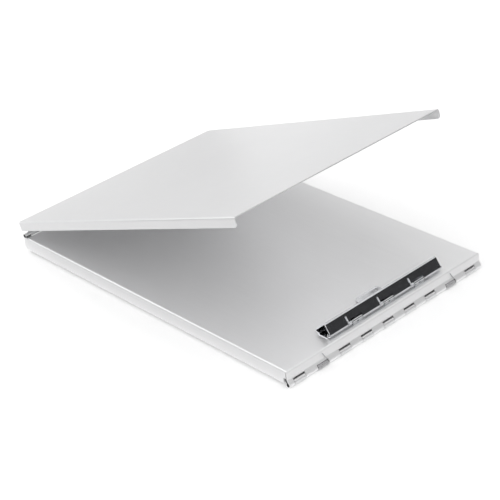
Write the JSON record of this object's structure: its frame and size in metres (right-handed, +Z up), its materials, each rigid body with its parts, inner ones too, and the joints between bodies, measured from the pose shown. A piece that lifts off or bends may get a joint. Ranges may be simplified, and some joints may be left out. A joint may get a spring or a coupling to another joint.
{
  "type": "portable drawing board",
  "caption": "Sheet-metal drawing board: shallow storage tray under a hinged writing plate with a sprung clip and a hinged protective cover, shown part open.",
  "frame": {"origin": "middle of the tray's flat underside", "axes": "+X across the board to the right of someone reading it with the clip at the top, +Y along the board towards the clip, +Z up out of the writing face"},
  "size_m": [0.2316, 0.3377, 0.1348],
  "materials": {
    "storage_tray": "satin rolled sheet",
    "plate_hinge_pin": "drawn wire",
    "hinge_spring_left": "spring wire",
    "hinge_spring_right": "spring wire",
    "writing_plate": "satin rolled sheet",
    "cover_hinge_pin": "drawn wire",
    "clip_base": "bright plated steel",
    "clip_rod": "drawn wire",
    "clip_rivets": "bright",
    "clip_spring_1": "spring wire",
    "clip_spring_2": "spring wire",
    "clip_spring_3": "spring wire",
    "cover": "satin rolled sheet",
    "clip_jaw": "bright plated steel"
  },
  "bodies": {
    "tray": {"storage_tray": "storage_tray", "plate_hinge_pin": "plate_hinge_pin", "hinge_spring_left": "hinge_spring_left", "hinge_spring_right": "hinge_spring_right"},
    "plate": {"writing_plate": "writing_plate", "cover_hinge_pin": "cover_hinge_pin", "clip_base": "clip_base", "clip_rod": "clip_rod", "clip_rivets": "clip_rivets", "clip_spring_1": "clip_spring_1", "clip_spring_2": "clip_spring_2", "clip_spring_3": "clip_spring_3"},
    "cover": {"cover": "cover"},
    "jaw": {"clip_jaw": "clip_jaw"}
  },
  "joints": [
    {"name": "plate_hinge", "type": "hinge", "parent": "tray", "child": "plate", "pos_m": [0, 0.1655, 0.00225], "axis": [-1, 0, 0], "range_deg": [0, 100], "stiffness_Nm_per_rad": 0.12, "springref_deg": -45.84, "deforming": ["hinge_spring_left", "hinge_spring_right"]},
    {"name": "cover_hinge", "type": "hinge", "parent": "plate", "child": "cover", "pos_m": [0, -0.1646, 0.01545], "axis": [1, 0, 0], "range_deg": [-20, 112]},
    {"name": "jaw_hinge", "type": "hinge", "parent": "plate", "child": "jaw", "pos_m": [0, 0.1583, 0.0172], "axis": [-1, 0, 0], "range_deg": [0, 26], "stiffness_Nm_per_rad": 0.5, "springref_deg": -34.38, "deforming": ["clip_spring_1", "clip_spring_2", "clip_spring_3"]}
  ]
}
